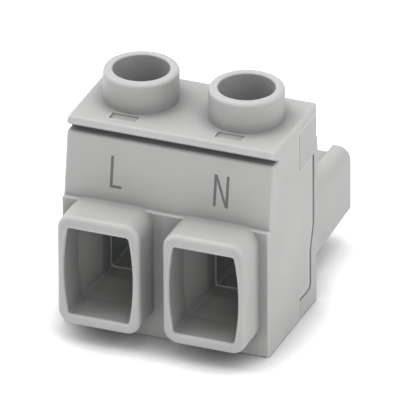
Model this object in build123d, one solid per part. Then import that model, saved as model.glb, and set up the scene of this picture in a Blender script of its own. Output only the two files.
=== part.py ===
from build123d import *
from math import cos, radians, sin
import os

# Two-pole pluggable terminal connector for a circuit board header.
# A front moulding holds the wire entries, the marking face and the screw collars.
# A rear moulding closes it from behind and carries the two plug fingers.
# Each pole holds a screw, a rising cage clamp, a current bar, a socket and its spring.
# X runs across the poles, Y from the wire side to the plug side, Z up. Millimetres.
# Everything is drawn with the front wall at Y = 0 and moved to the centre of the base.

# Poles and body
pole_pitch = 10.16
side_margin = 4.905
body_depth = 11.9
roof_gap = 1.40
corner_round = 0.15

# Marking face, ledge and lip
ledge_height = 12.7
ledge_depth = 0.45
face_setback = 1.40
face_round = 0.35
lip_setback = 1.52
lip_lean = 0.30
lip_height = 0.62
lip_round = 0.22
groove_mouth = 0.76
groove_setback = 2.40
groove_floor = 0.06

# Top plate, marker slots and screw collars
plate_thickness = 1.2
slot_width = 2.6
slot_length = 1.1
slot_setback = 2.45
slot_depth = 0.17
collar_diameter = 6.9
collar_height = 3.0
collar_rim_round = 0.32
collar_rim_steps = 3
screw_setback = 7.2
access_diameter = 5.22
access_depth = 3.12
access_rim_edge = 0.10

# Wire entry sleeves, mouths and funnels
sleeve_width = 7.95
sleeve_height = 11.02
sleeve_base = 1.76
sleeve_reach = 3.6
sleeve_corner = 1.4
sleeve_rim_round = 0.45
mouth_width = 5.81
mouth_bulge = 0.42
mouth_height = 8.70
mouth_base = 2.86
mouth_corner = 0.30
mouth_edge = 0.12
funnel_depth = 3.25
throat_width = 4.6
throat_height = 5.2
throat_base = 3.4
throat_corner = 0.25

# Joint between the two mouldings, seen from the side
tab_front = 7.51
tab_setback = 0.90
tab_base = 2.18
tab_top = 15.2
tab_bend_top = 8.3
tab_bend_low = 5.83
tab_offset = 0.80
tab_bend_round = 1.6
tab_corner_round = 0.6
tab_wall = 1.255
ear_wall = 0.70
joint_groove = 0.44
joint_base_gap = 0.25
joint_front_gap = 0.10
pad_rise = 0.22
pad_base = 4.9
pad_top = 15.4
pad_ramp = 1.3
rear_wall = 0.90

# Plug fingers
finger_width = 6.98
finger_reach = 12.08
finger_below = 3.25
finger_lift = 0.57
finger_above = 2.68
ridge_width = 1.80
ridge_height = 0.82
ridge_round = 1.25
finger_wall = 1.0
pin_slot_width = 3.6
pin_slot_height = 1.6
pin_slot_lead = 0.45

# Clamp cage
cage_depth = 3.98
cage_wall = 1.10
cage_opening = 4.44
cage_step = 0.12
cage_corner = 1.0
cage_top_layer = 1.1
cage_seam = 0.15

# Clamp screw, metric M4
thread_diameter = 4.0
thread_pitch = 0.7
clamp_turns = 6.5
head_diameter = 4.5
head_height = 2.2
head_chamfer = 0.25
tip_chamfer = 0.45
drive_width = 0.9
drive_depth = 1.3

# Current bar
bar_width = 4.2
bar_thickness = 1.2
bar_seat = 0.80
bar_bend = 0.35
bar_height = 9.3
bar_clamp_gap = 0.20
bar_tail_width = 3.4
bar_tail_reach = 4.5
grip_pitch = 0.8
grip_depth = 0.15
grip_count = 4

# Contact socket and spring
contact_height = 5.75
leaf_width = 3.4
leaf_thickness = 0.6
leaf_grip = 2.7
leaf_room = 0.41
leaf_gap = 0.9
leaf_flare = 0.35
leaf_tip = 1.4
spring_thickness = 0.25
spring_width = 2.6
spring_band = 1.8
spring_setback = 0.5
spring_tip_setback = 0.5

# Clearances
mould_fit = 0.05
plate_fit = 0.02
slide_fit = 0.10
thread_fit = 0.03
head_fit = 0.08
seat_fit = 0.05
tip_fit = 0.02

# How far a cut or a joined block reaches past the face that it meets
overlap = 0.5

# Places that follow from the sizes above
poles = {"left": -pole_pitch / 2, "right": pole_pitch / 2}
body_width = pole_pitch + 2 * side_margin
cage_base = throat_base + cage_step - cage_wall
bar_top = bar_height + bar_thickness
cage_ceiling = bar_top + bar_clamp_gap
cage_top = cage_ceiling + 2 * cage_top_layer
clamp_travel = clamp_turns * thread_pitch
cage_half = cage_opening / 2 + cage_wall
cage_front = screw_setback - cage_depth / 2
chamber_half = cage_half + slide_fit
chamber_front = cage_front - slide_fit
chamber_rear = cage_front + cage_depth + slide_fit
chamber_base = cage_base - mould_fit
chamber_top = cage_top + clamp_travel + mould_fit
head_base = chamber_top + slide_fit
plate_base = chamber_top + roof_gap
body_height = plate_base + plate_thickness
lip_base = body_height - lip_height
face_top = lip_base - groove_mouth
collar_top = body_height + collar_height
access_base = collar_top - access_depth
tab_rear = body_depth - tab_setback
core_half = body_width / 2 - tab_wall
core_front = chamber_rear + mould_fit
core_base = tab_base - overlap
drop_front = core_front + seat_fit
drop_rear = drop_front + bar_thickness
tail_base = contact_height - bar_thickness / 2
tail_end = drop_rear + bar_tail_reach
finger_end = body_depth + finger_reach
finger_base = contact_height - finger_below
finger_top = contact_height + finger_above
cavity_half_width = finger_width / 2 - finger_wall
cavity_base = finger_base + finger_lift + finger_wall
cavity_top = finger_top - finger_wall
leaf_root = tail_end - leaf_grip
leaf_end = finger_end - finger_wall - leaf_room
leaf_touch = leaf_end - leaf_tip


def side_face(points, radii):
    """Face in the YZ plane from (depth, height) points, one rounding for each corner."""
    outline = FilletPolyline(*points, radius=radii, close=True)
    return Plane.YZ * make_face(outline)


def across(face, width, centre=0.0):
    """Extrude a side face to both sides of a centre plane."""
    return Pos(centre, 0, 0) * extrude(face, amount=width / 2, both=True)


def block(x_range, y_range, z_range):
    """Plain block between two corners."""
    size = [high - low for low, high in (x_range, y_range, z_range)]
    middle = [(high + low) / 2 for low, high in (x_range, y_range, z_range)]
    return Pos(*middle) * Box(*size)


def front_plane(depth):
    """Plane that faces the wire side, at a depth behind the front wall."""
    return Plane(origin=(0, depth, 0), x_dir=(1, 0, 0), z_dir=(0, -1, 0))


def upright(radius, base, top, centre_x, centre_y):
    """Vertical cylinder between two heights."""
    return Pos(centre_x, centre_y, (base + top) / 2) * Cylinder(radius, top - base)


def outer_block():
    """Outer form of both mouldings together, with the ledge, marking face and lip."""
    points = [
        (0, 0),
        (body_depth, 0),
        (body_depth, body_height),
        (lip_setback, body_height),
        (lip_setback - lip_lean, lip_base),
        (groove_setback, face_top + groove_floor),
        (groove_setback, face_top),
        (face_setback, face_top),
        (ledge_depth, ledge_height),
        (0, ledge_height),
    ]
    edge = corner_round
    radii = [edge, edge, lip_round, lip_round, edge, 0, 0, face_round, 0, edge]
    solid = across(side_face(points, radii), body_width)
    ends = solid.faces().sort_by(Axis.X)
    return chamfer(ends[0].edges() + ends[-1].edges(), corner_round)


def tab_outline(rear_shift, base_shift, top_shift):
    """Side tab of the front moulding, by which it reaches over the rear one."""
    rear = tab_rear + rear_shift
    low_rear = rear - tab_offset
    points = [
        (tab_front - overlap, tab_base - base_shift),
        (low_rear, tab_base - base_shift),
        (low_rear, tab_bend_low),
        (rear, tab_bend_top),
        (rear, tab_top + top_shift),
        (tab_front - overlap, tab_top + top_shift),
    ]
    radii = [0, tab_corner_round, tab_bend_round, tab_bend_round, 0, 0]
    return side_face(points, radii)


def mouth_section(depth):
    """Wire mouth with upright sides that bow outwards."""
    half = mouth_width / 2
    top = mouth_base + mouth_height
    middle = mouth_base + mouth_height / 2
    right = ThreePointArc((half, mouth_base), (half + mouth_bulge, middle), (half, top))
    left = ThreePointArc((-half, top), (-half - mouth_bulge, middle), (-half, mouth_base))
    upper = Line((half, top), (-half, top))
    lower = Line((-half, mouth_base), (half, mouth_base))
    section = make_face([lower, right, upper, left])
    section = fillet(section.vertices(), mouth_corner)
    return front_plane(depth) * section


def throat_section(depth):
    """Plain opening that leads the wire into the clamp."""
    centre = throat_base + throat_height / 2
    section = RectangleRounded(throat_width, throat_height, throat_corner)
    return front_plane(depth) * (Pos(0, centre) * section)


def wire_entry():
    """Space of one mouth, funnel and throat, centred on its pole."""
    mouth = extrude(mouth_section(0), amount=sleeve_reach + overlap)
    rim = loft([
        mouth_section(-sleeve_reach + mouth_edge),
        offset(mouth_section(-sleeve_reach), mouth_edge),
    ])
    funnel = loft([mouth_section(0), throat_section(funnel_depth)])
    throat = extrude(throat_section(funnel_depth), amount=-(chamber_front + overlap - funnel_depth))
    return mouth + rim + funnel + throat


def entry_sleeve():
    """Rounded rectangular sleeve round one wire mouth."""
    centre = sleeve_base + sleeve_height / 2
    section = Pos(0, centre) * RectangleRounded(sleeve_width, sleeve_height, sleeve_corner)
    depth = sleeve_reach + ledge_depth + mould_fit
    solid = extrude(front_plane(-sleeve_reach) * section, amount=-depth)
    rim = solid.faces().sort_by(Axis.Y)[0].edges()
    return fillet(rim, sleeve_rim_round)


def screw_collar():
    """Round collar above one screw, its rim rounded in a few narrow steps."""
    centre_x = collar_diameter / 2 - collar_rim_round
    centre_z = collar_top - collar_rim_round
    points = [(0, body_height - overlap), (collar_diameter / 2, body_height - overlap)]
    for step in range(collar_rim_steps + 1):
        turn = radians(90 * step / collar_rim_steps)
        points.append((
            centre_x + collar_rim_round * cos(turn),
            centre_z + collar_rim_round * sin(turn),
        ))
    points.append((0, collar_top))
    outline = make_face(Polyline(*points, close=True))
    return Pos(0, screw_setback, 0) * revolve(Plane.XZ * outline, Axis.Z)


def screw_shaft():
    """Space above one clamp: the head's room, then the wider screwdriver access."""
    head_room = upright(
        head_diameter / 2 + head_fit, chamber_top - overlap, access_base, 0, screw_setback
    )
    access = upright(
        access_diameter / 2, access_base, collar_top + overlap, 0, screw_setback
    )
    lead = Pos(0, screw_setback, collar_top - access_rim_edge / 2) * Cone(
        access_diameter / 2, access_diameter / 2 + access_rim_edge, access_rim_edge
    )
    return head_room + access + lead


def clamp_chamber():
    """Room in which one cage clamp rises and falls, open to the rear."""
    return block(
        (-chamber_half, chamber_half),
        (chamber_front, body_depth - rear_wall),
        (chamber_base, chamber_top),
    )


def bar_tip_seat():
    """Pocket in the front wall in which the current bar's tip rests."""
    half = bar_width / 2 + seat_fit
    front = chamber_front - bar_seat - seat_fit
    return block(
        (-half, half),
        (front, chamber_front + overlap),
        (bar_height - seat_fit, bar_top + seat_fit),
    )


def marker_slot():
    """Shallow recess in the top plate for a marker strip."""
    half = slot_width / 2
    return block(
        (-half, half),
        (slot_setback, slot_setback + slot_length),
        (body_height - slot_depth, body_height + overlap),
    )


def terminal_housing():
    """Front moulding with the entries, marking face, collars and clamp chambers."""
    wide = body_width / 2 + overlap
    behind = body_depth + overlap
    ear_inside = body_width / 2 - ear_wall - mould_fit
    solid = outer_block()
    rear_space = block((-wide, wide), (tab_front, behind), (-overlap, plate_base))
    rear_space -= across(tab_outline(-joint_groove / 2, 0, 0), 2 * wide)
    rear_space -= block(
        (-ear_inside, ear_inside),
        (tab_front - overlap, chamber_rear),
        (tab_top - overlap, plate_base + overlap),
    )
    rear_space -= block(
        (-ear_inside, ear_inside),
        (tab_front - overlap, body_depth - rear_wall - mould_fit),
        (chamber_top, plate_base + overlap),
    )
    solid -= rear_space
    solid -= block((-core_half, core_half), (chamber_rear, behind), (0, tab_top + mould_fit))
    solid -= block((-core_half, core_half), (tab_front, behind), (-overlap, chamber_base))
    for centre in poles.values():
        solid += Pos(centre, 0, 0) * entry_sleeve()
        solid += Pos(centre, 0, 0) * screw_collar()
    for centre in poles.values():
        for space in (wire_entry(), clamp_chamber(), screw_shaft(), bar_tip_seat(), marker_slot()):
            solid -= Pos(centre, 0, 0) * space
    return solid


def finger_section():
    """End view of one plug finger with its two guide ridges."""
    half = finger_width / 2
    ridge_inside = half - ridge_width
    ridge_top = finger_top + ridge_height
    points = [
        (-half, 0),
        (half, 0),
        (half, ridge_top),
        (ridge_inside, ridge_top),
        (ridge_inside, finger_top),
        (-ridge_inside, finger_top),
        (-ridge_inside, ridge_top),
        (-half, ridge_top),
    ]
    edge = corner_round
    radii = [0, 0, ridge_round, edge, 0, 0, edge, ridge_round]
    return make_face(FilletPolyline(*points, radius=radii, close=True))


def plug_finger():
    """Solid outer form of one plug finger, its underside rising towards the end."""
    length = finger_reach + overlap
    solid = extrude(front_plane(finger_end) * finger_section(), amount=length)
    under = [
        (body_depth - 2 * overlap, -overlap),
        (finger_end + overlap, -overlap),
        (finger_end + overlap, finger_base + finger_lift),
        (finger_end, finger_base + finger_lift),
        (body_depth, finger_base),
        (body_depth - 2 * overlap, finger_base),
    ]
    return solid - across(side_face(under, [0] * len(under)), 2 * finger_width)


def contact_space():
    """Room inside one finger for the socket, and the slot for the header's pin."""
    half = bar_width / 2 + seat_fit
    drop = block(
        (-half, half),
        (core_front - overlap, drop_rear + seat_fit),
        (tail_base - seat_fit, bar_top + seat_fit),
    )
    cavity = block(
        (-cavity_half_width, cavity_half_width),
        (drop_rear - overlap, finger_end - finger_wall),
        (cavity_base, cavity_top),
    )
    wall_middle = finger_end - finger_wall / 2
    slot = Pos(0, wall_middle, contact_height) * Box(
        pin_slot_width, finger_wall + 2 * overlap, pin_slot_height
    )
    lead_face = Pos(0, contact_height) * Rectangle(pin_slot_width, pin_slot_height)
    wide_face = Pos(0, contact_height) * Rectangle(
        pin_slot_width + 2 * pin_slot_lead, pin_slot_height + 2 * pin_slot_lead
    )
    lead = loft([
        front_plane(finger_end - pin_slot_lead) * lead_face,
        front_plane(finger_end) * wide_face,
    ])
    return drop + cavity + slot + lead


def contact_carrier():
    """Rear moulding that closes the clamp chambers and carries the plug fingers."""
    wide = body_width / 2 + overlap
    ear_inside = body_width / 2 - ear_wall
    inside = core_half - mould_fit
    rear_inside = body_depth - rear_wall
    solid = outer_block() & block(
        (-wide, wide),
        (tab_front + joint_front_gap, body_depth + overlap),
        (-overlap, plate_base - plate_fit),
    )
    pad = [
        (body_depth - overlap, pad_base - pad_rise),
        (body_depth, pad_base - pad_rise),
        (body_depth + pad_rise, pad_base),
        (body_depth + pad_rise, pad_top),
        (body_depth, pad_top + pad_ramp),
        (body_depth - overlap, pad_top + pad_ramp),
    ]
    solid -= across(tab_outline(joint_groove / 2, joint_base_gap, plate_fit), 2 * wide)
    solid -= block(
        (-ear_inside, ear_inside),
        (0, core_front),
        (tab_top - overlap, plate_base),
    )
    solid -= block((-ear_inside, ear_inside), (0, rear_inside), (chamber_top - mould_fit, plate_base))
    solid += across(side_face(pad, [0] * len(pad)), body_width)
    solid += block((-inside, inside), (core_front, rear_inside), (core_base, tab_top))
    solid += block(
        (-inside, inside),
        (tab_front + joint_front_gap, core_front),
        (core_base, chamber_base - mould_fit),
    )
    for centre in poles.values():
        solid += Pos(centre, 0, 0) * plug_finger()
    for centre in poles.values():
        solid -= Pos(centre, 0, 0) * contact_space()
    return solid


def clamp_cage():
    """Cage folded from thick strip, its ends lapped at the top and tapped for the screw."""
    height = cage_top - cage_base
    width = 2 * cage_half
    window_height = cage_ceiling - cage_base - cage_wall
    window_centre = cage_base + cage_wall + window_height / 2
    section = Pos(0, cage_base + height / 2) * RectangleRounded(width, height, cage_corner)
    section -= Pos(0, window_centre) * RectangleRounded(cage_opening, window_height, throat_corner)
    solid = extrude(front_plane(cage_front) * section, amount=-cage_depth)
    seam_right = cage_opening / 2
    solid -= block(
        (seam_right - cage_seam, seam_right),
        (cage_front - overlap, cage_front + cage_depth + overlap),
        (cage_ceiling - overlap, cage_ceiling + cage_top_layer),
    )
    thread_radius = thread_diameter / 2 + thread_fit
    solid -= upright(thread_radius, cage_ceiling - overlap, cage_top + overlap, 0, screw_setback)
    return solid


def clamp_screw():
    """Captive screw with a straight drive; it turns on its tip and lifts the cage."""
    shank = upright(thread_diameter / 2, bar_top + tip_fit, head_base + overlap, 0, screw_setback)
    shank = chamfer(shank.faces().sort_by(Axis.Z)[0].edges(), tip_chamfer)
    head = upright(head_diameter / 2, head_base, head_base + head_height, 0, screw_setback)
    head = chamfer(head.faces().sort_by(Axis.Z)[-1].edges(), head_chamfer)
    drive_base = head_base + head_height - drive_depth
    drive = block(
        (-head_diameter, head_diameter),
        (screw_setback - drive_width / 2, screw_setback + drive_width / 2),
        (drive_base, head_base + head_height + overlap),
    )
    return shank + head - drive


def current_bar():
    """Bar over the wire, bent down behind the cage and back into the finger."""
    tip = chamber_front - bar_seat
    tail_top = tail_base + bar_thickness
    outer = bar_bend + bar_thickness
    points = [
        (tip, bar_height),
        (drop_front, bar_height),
        (drop_front, tail_base),
        (tail_end, tail_base),
        (tail_end, tail_top),
        (drop_rear, tail_top),
        (drop_rear, bar_top),
        (tip, bar_top),
    ]
    edge = corner_round
    heel = bar_thickness / 2
    radii = [edge, bar_bend, heel, edge, edge, bar_bend, outer, edge]
    solid = across(side_face(points, radii), bar_width)
    side_trim = (bar_width - bar_tail_width) / 2
    for side in (-1, 1):
        middle = side * (bar_width - side_trim) / 2
        solid -= block(
            (middle - side_trim / 2, middle + side_trim / 2),
            (drop_rear, tail_end + overlap),
            (tail_base - overlap, tail_top + overlap),
        )
    grip_start = screw_setback - grip_pitch * (grip_count - 1) / 2
    for number in range(grip_count):
        groove = Pos(0, grip_start + number * grip_pitch, bar_height) * Rot(45, 0, 0)
        side = grip_depth * 2 ** 0.5
        solid -= groove * Box(bar_width + overlap, side, side)
    return solid


def leaf_profile():
    """Side view of the upper contact leaf, gripped on the bar and flared at its tip."""
    seat = bar_thickness / 2
    near = leaf_gap / 2
    points = [
        (leaf_root, contact_height + seat),
        (tail_end, contact_height + seat),
        (leaf_touch, contact_height + near),
        (leaf_end, contact_height + near + leaf_flare),
        (leaf_end, contact_height + near + leaf_flare + leaf_thickness),
        (leaf_touch, contact_height + near + leaf_thickness),
        (tail_end, contact_height + seat + leaf_thickness),
        (leaf_root, contact_height + seat + leaf_thickness),
    ]
    bend = leaf_thickness
    return side_face(points, [0, bend, bend, 0, 0, bend, bend, 0])


def contact_socket():
    """Socket folded from copper strip: two leaves joined by a side web at their root."""
    upper = across(leaf_profile(), leaf_width)
    level = Plane(origin=(0, 0, contact_height), z_dir=(0, 0, 1))
    lower = mirror(upper, about=level)
    half_height = bar_thickness / 2 + leaf_thickness
    web_inside = leaf_width / 2
    web = block(
        (web_inside, web_inside + leaf_thickness),
        (leaf_root, tail_end),
        (contact_height - half_height, contact_height + half_height),
    )
    outer_edges = web.edges().filter_by(Axis.Y).group_by(Axis.X)[-1]
    web = fillet(outer_edges, leaf_thickness / 2)
    return upper + lower + web


def contact_spring():
    """Steel spring clipped over the socket, its two tongues pressing on the leaves."""
    start = tail_end + spring_setback
    band_end = start + spring_band
    tip = leaf_touch - spring_tip_setback
    fall = (bar_thickness / 2 - leaf_gap / 2) / (leaf_touch - tail_end)
    seat = bar_thickness / 2 + leaf_thickness + seat_fit
    tip_seat = seat - fall * (tip - tail_end)
    points = [
        (start, contact_height + seat),
        (band_end, contact_height + seat),
        (tip, contact_height + tip_seat),
        (tip, contact_height + tip_seat + spring_thickness),
        (band_end, contact_height + seat + spring_thickness),
        (start, contact_height + seat + spring_thickness),
    ]
    upper = across(side_face(points, [0] * len(points)), spring_width)
    lower = mirror(upper, about=Plane(origin=(0, 0, contact_height), z_dir=(0, 0, 1)))
    inner_half = leaf_width / 2 + seat_fit
    outer_half = inner_half + spring_thickness
    top = contact_height + seat + spring_thickness
    base = contact_height - seat - spring_thickness
    band = block((-outer_half, outer_half), (start, band_end), (base, top))
    band -= block(
        (-inner_half, inner_half),
        (start - overlap, band_end + overlap),
        (contact_height - seat, contact_height + seat),
    )
    return upper + lower + band


def save(name, solid):
    """Write one piece, with the origin moved to the centre of the base."""
    export_step(Pos(0, -body_depth / 2, 0) * solid, "parts/" + name + ".step")


os.makedirs("parts", exist_ok=True)
save("terminal_housing", terminal_housing())
save("contact_carrier", contact_carrier())
for side, centre in poles.items():
    for piece, solid in (
        ("clamp_screw", clamp_screw()),
        ("clamp_cage", clamp_cage()),
        ("current_bar", current_bar()),
        ("contact_socket", contact_socket()),
        ("contact_spring", contact_spring()),
    ):
        save(piece + "_" + side, Pos(centre, 0, 0) * solid)
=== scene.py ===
from math import cos, pi, radians, sin

import bmesh
import bpy
from mathutils import Matrix, Vector


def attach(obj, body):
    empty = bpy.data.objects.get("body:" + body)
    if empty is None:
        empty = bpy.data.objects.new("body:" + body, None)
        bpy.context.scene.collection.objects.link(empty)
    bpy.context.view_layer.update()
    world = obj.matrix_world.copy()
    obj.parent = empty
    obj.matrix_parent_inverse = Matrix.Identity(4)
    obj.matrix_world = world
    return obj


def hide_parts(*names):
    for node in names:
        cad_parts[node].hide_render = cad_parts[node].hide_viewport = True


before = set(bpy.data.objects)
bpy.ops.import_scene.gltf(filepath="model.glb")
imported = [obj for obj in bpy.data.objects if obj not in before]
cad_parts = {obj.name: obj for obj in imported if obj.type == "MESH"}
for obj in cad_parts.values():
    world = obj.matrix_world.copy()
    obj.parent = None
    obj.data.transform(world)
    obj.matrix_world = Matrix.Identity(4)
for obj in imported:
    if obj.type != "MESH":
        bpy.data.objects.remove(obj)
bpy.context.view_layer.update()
mm = 0.001  # Blender works in metres, the sizes below are in mm unless a note says otherwise
sides = ("left", "right")
scene = bpy.context.scene
print("frame loaded:", len(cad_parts), "nodes")


# camera: the photograph's view, a long lens from the front right and above

cameraSpot = {
    "azimuth": 21.755,  # degrees to the right of straight ahead
    "elevation": 28.169,
    "roll": -0.330,
    "lens": 1300,  # the photograph is nearly free of perspective
    "sensor": 36,
    "imageWidth": 408,
    "pixelsPerMm": 11.122,  # at the object's middle
    "aim": (0, 0, 11),
    "aimShift": (1.299, -0.176),  # brings the object to its place in the picture
    "clipStart": 0.05,  # metres
    "clipEnd": 50,
}


def directionTo(azimuth, elevation):  # azimuth 0 is the front, 90 the right
    a, e = radians(azimuth), radians(elevation)
    return Vector((sin(a) * cos(e), -cos(a) * cos(e), sin(e)))


def makeCamera(spot):
    a, roll = radians(spot["azimuth"]), radians(spot["roll"])
    back = directionTo(spot["azimuth"], spot["elevation"])
    level = Vector((cos(a), sin(a), 0))
    upright = back.cross(level)
    right = level * cos(roll) + upright * sin(roll)
    up = upright * cos(roll) - level * sin(roll)
    focal = spot["lens"] / spot["sensor"] * spot["imageWidth"]
    distance = focal / spot["pixelsPerMm"]
    aim = Vector(spot["aim"]) + right * spot["aimShift"][0] + up * spot["aimShift"][1]
    data = bpy.data.cameras.new("photoView")
    data.lens = spot["lens"]
    data.sensor_width = spot["sensor"]
    data.clip_start = spot["clipStart"]
    data.clip_end = spot["clipEnd"]
    camera = bpy.data.objects.new("photoView", data)
    turn = Matrix((right, up, back)).transposed().to_4x4()
    camera.matrix_world = Matrix.Translation((aim + back * distance) * mm) @ turn
    scene.collection.objects.link(camera)
    scene.camera = camera


makeCamera(cameraSpot)
print("camera placed")


# helpers for materials and pieces

def hexColour(code):  # sRGB hex to linear
    channels = []
    for start in (0, 2, 4):
        value = int(code[start:start + 2], 16) / 255
        channels.append(value / 12.92 if value <= 0.04045 else ((value + 0.055) / 1.055) ** 2.4)
    return (*channels, 1)


def addNode(tree, kind, inputs=None, links=None, **settings):
    node = tree.nodes.new(kind)
    for name, value in settings.items():
        setattr(node, name, value)
    for socket, value in (inputs or {}).items():
        node.inputs[socket].default_value = value
    for socket, (source, output) in (links or {}).items():
        tree.links.new(source.outputs[output], node.inputs[socket])
    return node


def newMaterial(name):
    material = bpy.data.materials.new(name)
    material.use_nodes = True
    material.node_tree.nodes.clear()
    return material, material.node_tree


def finishMaterial(tree, shader, output="BSDF"):
    addNode(tree, "ShaderNodeOutputMaterial", links={"Surface": (shader, output)})


def setRamp(ramp, stops):
    for element, (position, colour) in zip(ramp.color_ramp.elements, stops):
        element.position = position
        element.color = hexColour(colour)


def placePiece(name, bm, material):
    mesh = bpy.data.meshes.new(name)
    bm.to_mesh(mesh)
    bm.free()
    mesh.materials.append(material)
    piece = bpy.data.objects.new(name, mesh)
    scene.collection.objects.link(piece)
    return piece


# moulded plastic: light grey glass-filled polyamide 66, moulded in a spark-eroded tool
# the eye sees an even, slightly warm grey, a soft sheen and a very fine grain

polyamide = {
    "colour": "BFBFBE",
    "flowColour": "BABAB9",  # glass fibres lie differently along the flow, a hair darker
    "flowSize": 6.0,
    "flowStart": 0.35,  # where in the noise the flow colour begins and is full
    "flowEnd": 0.70,
    "grainSize": 0.09,  # eroded texture, drawn about three times as coarse as it is
    "grainDepth": 0.0025,
    "grainStrength": 0.35,
    "roughness": 0.52,
    "roughnessSpread": 0.05,
    "ior": 1.53,
    "specular": 0.45,
    "recessReach": 12.0,  # how far a wall shades the recess beside it
    "recessShade": 0.6,  # how strongly, 0 is not at all
    "deepestShade": 0.69,  # the shade that deep recesses keep to
    "creaseReach": 1.2,  # the same for the narrow creases between two walls
    "creaseShade": 0.7,
    "deepestCrease": 0.84,
    "shadeSamples": 6,
    "edgeReach": 0.35,  # how wide the painted highlight along the outer edges is
    "edgeLight": 0.24,  # how much lighter it is
    "edgeFull": 0.5,  # the openness inside the plastic at which the painted highlight is lightest
    "edgeSamples": 4,
}


def makePolyamide(name, look):
    material, tree = newMaterial(name)
    place = addNode(tree, "ShaderNodeTexCoord")
    flow = addNode(tree, "ShaderNodeTexNoise",
                   {"Scale": 1 / (look["flowSize"] * mm), "Detail": 2, "Roughness": 0.5},
                   {"Vector": (place, "Object")})
    blend = addNode(tree, "ShaderNodeValToRGB", links={"Fac": (flow, "Fac")})
    setRamp(blend, ((look["flowStart"], look["colour"]), (look["flowEnd"], look["flowColour"])))
    # painted shade: the colour is darkened in recesses and narrow creases, the more the nearer walls enclose
    # them
    openness = addNode(tree, "ShaderNodeAmbientOcclusion", {"Distance": look["recessReach"] * mm},
                       only_local=True, samples=look["shadeSamples"])
    shade = addNode(tree, "ShaderNodeMath", {1: look["recessShade"]}, {0: (openness, "AO")},
                    operation="POWER")
    kept = addNode(tree, "ShaderNodeMath", {1: look["deepestShade"]}, {0: (shade, "Value")},
                   operation="MAXIMUM")
    near = addNode(tree, "ShaderNodeAmbientOcclusion", {"Distance": look["creaseReach"] * mm},
                   only_local=True, samples=look["shadeSamples"])
    crease = addNode(tree, "ShaderNodeMath", {1: look["creaseShade"]}, {0: (near, "AO")},
                     operation="POWER")
    creased = addNode(tree, "ShaderNodeMath", {1: look["deepestCrease"]}, {0: (crease, "Value")},
                      operation="MAXIMUM")
    paintedRecessShade = addNode(tree, "ShaderNodeMath", links={0: (kept, "Value"), 1: (creased, "Value")},
                    operation="MULTIPLY")
    # painted highlight: the colour is lightened along the outer edges, where the plastic is thin
    body = addNode(tree, "ShaderNodeAmbientOcclusion", {"Distance": look["edgeReach"] * mm},
                   only_local=True, inside=True, samples=look["edgeSamples"])
    edge = addNode(tree, "ShaderNodeMapRange",
                   {"From Min": 1, "From Max": look["edgeFull"],
                    "To Min": 1, "To Max": 1 + look["edgeLight"]},
                   {"Value": (body, "AO")})
    paintedShadeAndEdgeLight = addNode(tree, "ShaderNodeMath", links={0: (paintedRecessShade, "Value"), 1: (edge, "Result")},
                   operation="MULTIPLY")
    shaded = addNode(tree, "ShaderNodeVectorMath", links={0: (blend, "Color"), 1: (paintedShadeAndEdgeLight, "Value")},
                     operation="MULTIPLY")
    grain = addNode(tree, "ShaderNodeTexNoise",
                    {"Scale": 1 / (look["grainSize"] * mm), "Detail": 2, "Roughness": 0.6},
                    {"Vector": (place, "Object")})
    sheen = addNode(tree, "ShaderNodeMapRange",
                    {"To Min": look["roughness"] - look["roughnessSpread"],
                     "To Max": look["roughness"] + look["roughnessSpread"]},
                    {"Value": (grain, "Fac")})
    bump = addNode(tree, "ShaderNodeBump",
                   {"Strength": look["grainStrength"], "Distance": look["grainDepth"] * mm},
                   {"Height": (grain, "Fac")})
    shader = addNode(tree, "ShaderNodeBsdfPrincipled",
                     {"IOR": look["ior"], "Specular IOR Level": look["specular"]},
                     {"Base Color": (shaded, "Vector"), "Roughness": (sheen, "Result"),
                      "Normal": (bump, "Normal")})
    finishMaterial(tree, shader)
    return material


# the rear moulding comes from another tool: a shade darker, and without the painted edge highlight
rearPolyamide = dict(polyamide, colour="B8B8B7", flowColour="B4B4B3", edgeLight=0)

housingPlastic = makePolyamide("mouldedPolyamideHousing", polyamide)
carrierPlastic = makePolyamide("mouldedPolyamideCarrier", rearPolyamide)
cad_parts["terminal_housing"].material_slots[0].material = housingPlastic
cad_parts["contact_carrier"].material_slots[0].material = carrierPlastic
print("moulded plastic done")


# metals: lines is the spacing of the fine marks, depth their depth, and along below 1 stretches them

metalLooks = {
    # electroplated nickel over folded steel strip: cool grey, satin, faint drag lines from the die
    "nickelPlatedStrip": {"colour": "C3C7C6", "roughness": 0.50, "lines": 0.12, "depth": 0.0012,
                          "along": (0.2, 1, 1)},
    # matt tin over copper strip: soft whitish grey with cloudy patches
    "matteTinnedCopper": {"colour": "C9C6BE", "roughness": 0.42, "lines": 0.10, "depth": 0.0010,
                          "along": (1, 0.15, 1)},
    # bare stainless spring strip, cold rolled: darker, smooth, with fine rolling lines
    "rolledSpringSteel": {"colour": "8F8E8A", "roughness": 0.28, "lines": 0.05, "depth": 0.0008,
                          "along": (1, 0.1, 1)},
    # zinc plate, clear passivated, over a cold-headed screw: cool grey, fairly shiny
    "zincPlatedScrew": {"colour": "94989D", "roughness": 0.44, "lines": 0.08, "depth": 0.0010,
                        "along": (1, 1, 0.4)},
}
platingClouds = {
    "size": 1.6,  # patches in which the plating is a bit smoother or rougher
    "smoother": 0.08,
    "rougher": 0.10,
    "lineStrength": 0.5,
}
metalOf = {"clamp_cage": "nickelPlatedStrip", "current_bar": "matteTinnedCopper",
           "contact_socket": "matteTinnedCopper", "contact_spring": "rolledSpringSteel"}


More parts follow.
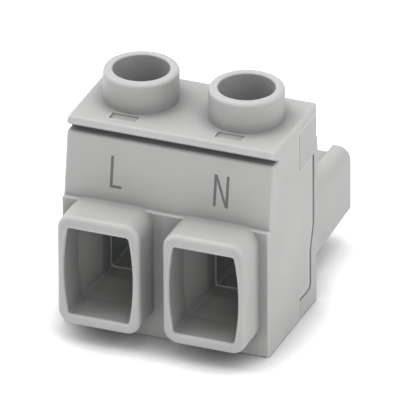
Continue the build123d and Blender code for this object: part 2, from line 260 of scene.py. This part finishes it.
def makeMetal(name, look, clouds):
    material, tree = newMaterial(name)
    place = addNode(tree, "ShaderNodeTexCoord")
    stretch = addNode(tree, "ShaderNodeMapping", {"Scale": look["along"]}, {"Vector": (place, "Object")})
    lines = addNode(tree, "ShaderNodeTexNoise",
                    {"Scale": 1 / (look["lines"] * mm), "Detail": 3, "Roughness": 0.55},
                    {"Vector": (stretch, "Vector")})
    patches = addNode(tree, "ShaderNodeTexNoise", {"Scale": 1 / (clouds["size"] * mm), "Detail": 2},
                      {"Vector": (place, "Object")})
    shine = addNode(tree, "ShaderNodeMapRange",
                    {"To Min": look["roughness"] - clouds["smoother"],
                     "To Max": look["roughness"] + clouds["rougher"]},
                    {"Value": (patches, "Fac")})
    bump = addNode(tree, "ShaderNodeBump",
                   {"Strength": clouds["lineStrength"], "Distance": look["depth"] * mm},
                   {"Height": (lines, "Fac")})
    shader = addNode(tree, "ShaderNodeBsdfPrincipled",
                     {"Base Color": hexColour(look["colour"]), "Metallic": 1},
                     {"Roughness": (shine, "Result"), "Normal": (bump, "Normal")})
    finishMaterial(tree, shader)
    return material


metals = {name: makeMetal(name, look, platingClouds) for name, look in metalLooks.items()}
for piece, metal in metalOf.items():
    for side in sides:
        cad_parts[piece + "_" + side].material_slots[0].material = metals[metal]
print("metals done")


# pole letters, laser marked on the sloping face: thin strokes of grey, L for line and N for neutral

poleLetters = {
    "stroke": 0.26,
    "foot": (-5.50, 12.7),  # depth and height of the marking face's lower edge
    "head": (-4.55, 18.72),  # and of its upper edge
    "low": 1.38,  # above the lower edge
    "high": 4.36,
    "lineLeft": -5.59, "lineRight": -4.45,
    "neutralLeft": 4.355, "neutralRight": 5.80,
    "slantWidth": 1.15,  # of the N's slanting stroke, measured level, in strokes
    "slantEnd": 2.2,  # how far its ends stay from the corners, in strokes
    "proud": 0.012,  # the marked plastic is raised a little
    "sunk": 0.01,
    "darkDot": "6C6C6B",
    "lightDot": "787877",
    "dotSize": 0.10,
    "dotStart": 0.3,
    "dotEnd": 0.7,
    "roughness": 0.7,
    "ior": 1.5,
    "specular": 0.3,
}


def makeLaserGrey(letters):
    material, tree = newMaterial("laserMarkedGrey")
    place = addNode(tree, "ShaderNodeTexCoord")
    # the laser foams and chars the plastic in tiny dots, so the grey is slightly uneven
    dots = addNode(tree, "ShaderNodeTexNoise", {"Scale": 1 / (letters["dotSize"] * mm), "Detail": 2},
                   {"Vector": (place, "Object")})
    ramp = addNode(tree, "ShaderNodeValToRGB", links={"Fac": (dots, "Fac")})
    setRamp(ramp, ((letters["dotStart"], letters["darkDot"]), (letters["dotEnd"], letters["lightDot"])))
    shader = addNode(tree, "ShaderNodeBsdfPrincipled",
                     {"Roughness": letters["roughness"], "IOR": letters["ior"],
                      "Specular IOR Level": letters["specular"]},
                     {"Base Color": (ramp, "Color")})
    finishMaterial(tree, shader)
    return material


def makeLetters(letters):
    stroke, low, high = letters["stroke"], letters["low"], letters["high"]
    left, right = letters["lineLeft"], letters["lineRight"]
    lineShape = [(left, low), (right, low), (right, low + stroke), (left + stroke, low + stroke),
                 (left + stroke, high), (left, high)]
    left, right = letters["neutralLeft"], letters["neutralRight"]
    slant = stroke * letters["slantWidth"]
    inset = stroke * letters["slantEnd"]
    neutralShape = [(left, low), (left + stroke, low), (left + stroke, high - inset),
                    (right - slant, low), (right, low), (right, high), (right - stroke, high),
                    (right - stroke, low + inset), (left + slant, high), (left, high)]
    foot, head = Vector((0, *letters["foot"])), Vector((0, *letters["head"]))
    rise = (head - foot) / (head.z - foot.z)
    outwards = Vector((1, 0, 0)).cross(rise).normalized()
    start = foot - outwards * letters["sunk"]
    thickness = letters["sunk"] + letters["proud"]
    material = makeLaserGrey(letters)
    for name, shape in (("line_letter", lineShape), ("neutral_letter", neutralShape)):
        bm = bmesh.new()
        face = bm.faces.new([bm.verts.new((Vector((x, 0, 0)) + start + rise * q) * mm) for x, q in shape])
        result = bmesh.ops.extrude_face_region(bm, geom=[face])
        raised = [item for item in result["geom"] if isinstance(item, bmesh.types.BMVert)]
        bmesh.ops.translate(bm, vec=outwards * thickness * mm, verts=raised)
        bmesh.ops.recalc_face_normals(bm, faces=bm.faces)
        letter = placePiece(name, bm, material)
        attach(letter, "housing")


makeLetters(poleLetters)
print("letters done")


# joint web: closes the fine slit in the rear moulding, which would show light from side to side

jointWeb = {
    "halfWidth": 8.6,
    "front": 5.01,
    "rear": 5.50,
    "bottom": 7.52,
    "top": 15.23,
}


def makeJointWeb(web, material):
    bm = bmesh.new()
    size = Vector((2 * web["halfWidth"], web["rear"] - web["front"], web["top"] - web["bottom"]))
    middle = Vector((0, (web["front"] + web["rear"]) / 2, (web["bottom"] + web["top"]) / 2))
    bmesh.ops.create_cube(bm, size=1, matrix=Matrix.LocRotScale(middle * mm, None, size * mm))
    piece = placePiece("joint_web", bm, material)
    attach(piece, "housing")


makeJointWeb(jointWeb, carrierPlastic)
print("joint web done")


# clamp screws: M4 with a rolled thread and a straight drive, under the collars

clampScrew = {
    "axisX": 5.08,  # one screw each side of the middle
    "axisY": 1.25,
    "tip": 10.52,
    "seat": 17.6,  # underside of the head
    "top": 19.8,
    "headRadius": 2.25,
    "headChamfer": 0.25,
    "chamferTurn": (0.4, 0.25),  # where the chamfer's middle lies, in chamfers inwards and down
    "seatRound": 0.06,
    "headSteps": 48,
    "slotWidth": 0.9,
    "slotDepth": 1.3,
    "threadRadius": 2.0,
    "coreRadius": 1.57,
    "pitch": 0.7,
    "footWidth": 0.10,  # flat at the thread's foot, along the axis
    "crest": (0.36, 0.44),  # where its crest starts and ends
    "tipChamfer": 0.45,
    "stepsPerTurn": 28,
    "spareTurns": 3,  # wound past both ends, then cut off
}
mergeGap = 1e-6  # metres, points closer than this are one
planeGap = 1e-7  # metres, points this close to a plane lie in it


def spinUp(bm, outline, **turning):  # turns an outline of radius and height round the Z axis
    corners = [bm.verts.new((radius * mm, 0, height * mm)) for radius, height in outline]
    strip = [bm.edges.new(pair) for pair in zip(corners, corners[1:])]
    bmesh.ops.spin(bm, geom=corners + strip, cent=(0, 0, 0), axis=(0, 0, 1), **turning)


def cutOff(bm, height, side):  # clears what lies past a level plane and closes the cut
    geometry = bm.verts[:] + bm.edges[:] + bm.faces[:]
    cut = bmesh.ops.bisect_plane(bm, geom=geometry, dist=planeGap, plane_co=(0, 0, height * mm),
                                 plane_no=(0, 0, side), clear_outer=True)
    rim = [item for item in cut["geom_cut"] if isinstance(item, bmesh.types.BMEdge)]
    bmesh.ops.contextual_create(bm, geom=rim)


def makeThread(look):
    # one pitch of the thread's outline, wound up from below the tip to above the seat
    bm = bmesh.new()
    pitch, steps, start = look["pitch"], look["stepsPerTurn"], look["tip"] - look["pitch"]
    core, crest = look["coreRadius"], look["threadRadius"]
    outline = [(core, start), (core, start + look["footWidth"]), (crest, start + look["crest"][0]),
               (crest, start + look["crest"][1]), (core, start + pitch)]
    turns = int((look["seat"] - look["tip"]) / pitch) + look["spareTurns"]
    spinUp(bm, outline, dvec=(0, 0, pitch * mm / steps), angle=2 * pi * turns, steps=steps * turns)
    bmesh.ops.remove_doubles(bm, verts=bm.verts, dist=mergeGap)
    cutOff(bm, look["seat"], 1)
    cutOff(bm, look["tip"], -1)
    for vert in bm.verts:  # the tip's chamfer
        room = (crest - look["tipChamfer"]) * mm + vert.co.z - look["tip"] * mm
        reach = vert.co.xy.length
        if reach > room:
            vert.co.xy *= room / reach
    return bm


def makeHead(look):
    # turned outline, then the driver slot is cut across it
    bm = bmesh.new()
    radius, chamfer, soft = look["headRadius"], look["headChamfer"], look["seatRound"]
    seat, top = look["seat"], look["top"]
    turn = (radius - chamfer * look["chamferTurn"][0], top - chamfer * look["chamferTurn"][1])
    outline = [(0, seat), (radius - soft, seat), (radius, seat + soft), (radius, top - chamfer),
               turn, (radius - chamfer, top), (0, top)]
    spinUp(bm, outline, angle=2 * pi, steps=look["headSteps"], use_merge=True)
    bmesh.ops.remove_doubles(bm, verts=bm.verts, dist=mergeGap)
    floor, half = (top - look["slotDepth"]) * mm, look["slotWidth"] / 2 * mm
    for point, normal in (((0, 0, floor), (0, 0, 1)), ((0, half, 0), (0, 1, 0)), ((0, -half, 0), (0, 1, 0))):
        bmesh.ops.bisect_plane(bm, geom=bm.verts[:] + bm.edges[:] + bm.faces[:], dist=planeGap,
                               plane_co=point, plane_no=normal)
    middles = [(face, face.calc_center_median()) for face in bm.faces]
    inSlot = [face for face, middle in middles if middle.z > floor and abs(middle.y) < half]
    bmesh.ops.delete(bm, geom=inSlot, context="FACES")
    rim = {vert for edge in bm.edges if edge.is_boundary for vert in edge.verts}
    bmesh.ops.contextual_create(bm, geom=[vert for vert in rim if abs(vert.co.z - floor) < planeGap])
    for wall in (half, -half):
        bmesh.ops.contextual_create(bm, geom=[vert for vert in rim if abs(vert.co.y - wall) < planeGap])
    return bm


def makeScrew(side, x, look, material):
    bm, head = makeThread(look), makeHead(look)
    loose = bpy.data.meshes.new("screwHead")
    head.to_mesh(loose)
    head.free()
    bm.from_mesh(loose)
    bpy.data.meshes.remove(loose)
    bmesh.ops.recalc_face_normals(bm, faces=bm.faces)
    bmesh.ops.translate(bm, vec=(x * mm, look["axisY"] * mm, 0), verts=bm.verts)
    screw = placePiece("threaded_screw_" + side, bm, material)
    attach(screw, "clamp_screw_" + side)
    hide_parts("clamp_screw_" + side)


for side, x in zip(sides, (-clampScrew["axisX"], clampScrew["axisX"])):
    makeScrew(side, x, clampScrew, metals["zincPlatedScrew"])
print("screws done")


# floor and light: white sweep with a soft contact shadow, even studio light

studio = {
    "floorColour": "E6E6E6",
    "floorGlow": 0.66,  # seen by the camera and in reflections only, it lights nothing
    "floorSize": 800,
    "floorDrop": 0.02,  # keeps the floor clear of the flat base
    "contactReach": 5.0,  # how far out the object darkens the floor beside it
    "contactShade": 1.2,
    "contactSamples": 4,
    "worldStrength": 0.0,  # the lamps alone light the object
    "lampDistance": 400,
}
softLamps = {
    # where the light comes from in degrees, its strength, and its softness in degrees
    "overheadLamp": {"azimuth": 0, "elevation": 89, "strength": 0.51, "softness": 60},
    "leftLamp": {"azimuth": -90, "elevation": 35, "strength": 0.55, "softness": 60},
    "rightLamp": {"azimuth": 90, "elevation": 35, "strength": 0.33, "softness": 60},
    "frontLamp": {"azimuth": 20, "elevation": 15, "strength": 0.30, "softness": 60},
    "backLamp": {"azimuth": 180, "elevation": 45, "strength": 0.10, "softness": 60},
}


def seenDirectly(tree):  # 1 for the camera and for reflections, 0 for light that falls on the object
    path = addNode(tree, "ShaderNodeLightPath")
    first = addNode(tree, "ShaderNodeMath", links={0: (path, "Is Camera Ray"), 1: (path, "Is Glossy Ray")},
                    operation="MAXIMUM")
    return addNode(tree, "ShaderNodeMath", links={0: (first, "Value"), 1: (path, "Is Transmission Ray")},
                   operation="MAXIMUM")


def makeFloor(look):
    bm = bmesh.new()
    bmesh.ops.create_grid(bm, x_segments=1, y_segments=1, size=look["floorSize"] / 2 * mm)
    bmesh.ops.translate(bm, vec=(0, 0, -look["floorDrop"] * mm), verts=bm.verts)
    material, tree = newMaterial("whiteSweep")
    # painted shadow: seen directly, the floor and its glow are darkened near the object by how enclosed it is
    openness = addNode(tree, "ShaderNodeAmbientOcclusion", {"Distance": look["contactReach"] * mm},
                       samples=look["contactSamples"])
    seen = seenDirectly(tree)
    depth = addNode(tree, "ShaderNodeMath", {1: look["contactShade"]}, {0: (seen, "Value")},
                    operation="MULTIPLY")
    contact = addNode(tree, "ShaderNodeMath", links={0: (openness, "AO"), 1: (depth, "Value")},
                      operation="POWER")
    white = addNode(tree, "ShaderNodeMath", {1: look["floorGlow"]}, {0: (seen, "Value")},
                    operation="MULTIPLY")
    glow = addNode(tree, "ShaderNodeMath", links={0: (white, "Value"), 1: (contact, "Value")},
                   operation="MULTIPLY")
    shaded = addNode(tree, "ShaderNodeVectorMath", {0: hexColour(look["floorColour"])[:3]},
                     {1: (contact, "Value")}, operation="MULTIPLY")
    paper = addNode(tree, "ShaderNodeBsdfDiffuse", links={"Color": (shaded, "Vector")})
    light = addNode(tree, "ShaderNodeEmission", links={"Strength": (glow, "Value")})
    both = addNode(tree, "ShaderNodeAddShader", links={0: (paper, "BSDF"), 1: (light, "Emission")})
    finishMaterial(tree, both, "Shader")
    placePiece("whiteFloor", bm, material)


def makeWorld(look):
    world = bpy.data.worlds.new("evenStudio")
    world.use_nodes = True
    tree = world.node_tree
    tree.nodes.clear()
    strength = addNode(tree, "ShaderNodeMapRange", {"To Min": look["worldStrength"], "To Max": 1},
                       {"Value": (seenDirectly(tree), "Value")})
    light = addNode(tree, "ShaderNodeBackground", {"Color": (1, 1, 1, 1)}, {"Strength": (strength, "Result")})
    addNode(tree, "ShaderNodeOutputWorld", links={"Surface": (light, "Background")})
    scene.world = world


def makeLamp(name, look, distance):
    towards = directionTo(look["azimuth"], look["elevation"])
    data = bpy.data.lights.new(name, "SUN")
    data.energy = look["strength"] * pi
    data.angle = radians(look["softness"])
    lamp = bpy.data.objects.new(name, data)
    turn = towards.to_track_quat("Z", "Y").to_matrix().to_4x4()
    lamp.matrix_world = Matrix.Translation(towards * distance * mm) @ turn
    scene.collection.objects.link(lamp)


makeFloor(studio)
makeWorld(studio)
for name, look in softLamps.items():
    makeLamp(name, look, studio["lampDistance"])
scene.view_settings.view_transform = "Standard"
print("studio done")
